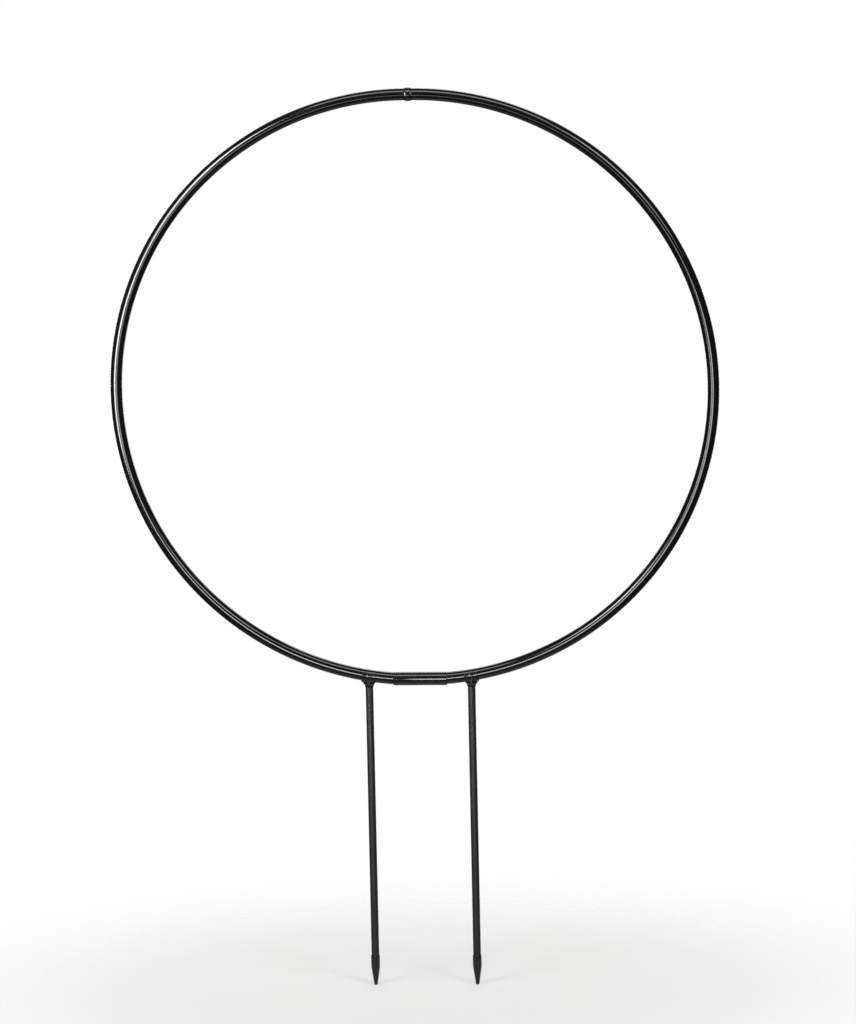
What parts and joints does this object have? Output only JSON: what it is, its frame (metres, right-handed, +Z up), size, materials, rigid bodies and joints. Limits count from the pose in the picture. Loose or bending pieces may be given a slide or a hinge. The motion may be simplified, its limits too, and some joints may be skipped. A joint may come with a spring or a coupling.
{
  "type": "ring plant support",
  "caption": "Hoop of black plastic-coated tube on thin legs that push into a pot's soil, for a climbing plant to wind round. Its halves and legs plug together.",
  "frame": {"origin": "on the soil line, midway between the legs, in the hoop's plane", "axes": "+Z up along the legs, +X to the right in the hoop's plane, +Y through the hoop, away from the viewer"},
  "size_m": [0.3, 0.0076, 0.4474],
  "materials": {
    "coat": "glossy black plastic coat",
    "moulding": "black moulded plastic, a little duller than the coat",
    "steel": "zinc-plated steel, dull silver"
  },
  "bodies": {
    "left_leg": {"left_leg_rod": "steel", "left_leg_coat": "coat", "left_leg_tip": "moulding"},
    "left_half": {"left_hoop_tube": "steel", "left_hoop_coat": "coat", "left_leg_clip": "moulding", "top_plug": "moulding", "bottom_sleeve": "moulding"},
    "right_half": {"right_hoop_tube": "steel", "right_hoop_coat": "coat", "right_leg_clip": "moulding"},
    "right_leg": {"right_leg_rod": "steel", "right_leg_coat": "coat", "right_leg_tip": "moulding"}
  },
  "joints": [
    {"name": "hoop_lift", "type": "slide", "parent": "left_leg", "child": "left_half", "axis": [0, 0, 1], "range_m": [0, 0.0071]},
    {"name": "half_pull", "type": "slide", "parent": "left_half", "child": "right_half", "axis": [1, 0, 0], "range_m": [0, 0.0115]},
    {"name": "right_leg_pull", "type": "slide", "parent": "right_half", "child": "right_leg", "axis": [0, 0, -1], "range_m": [0, 0.0071]}
  ]
}
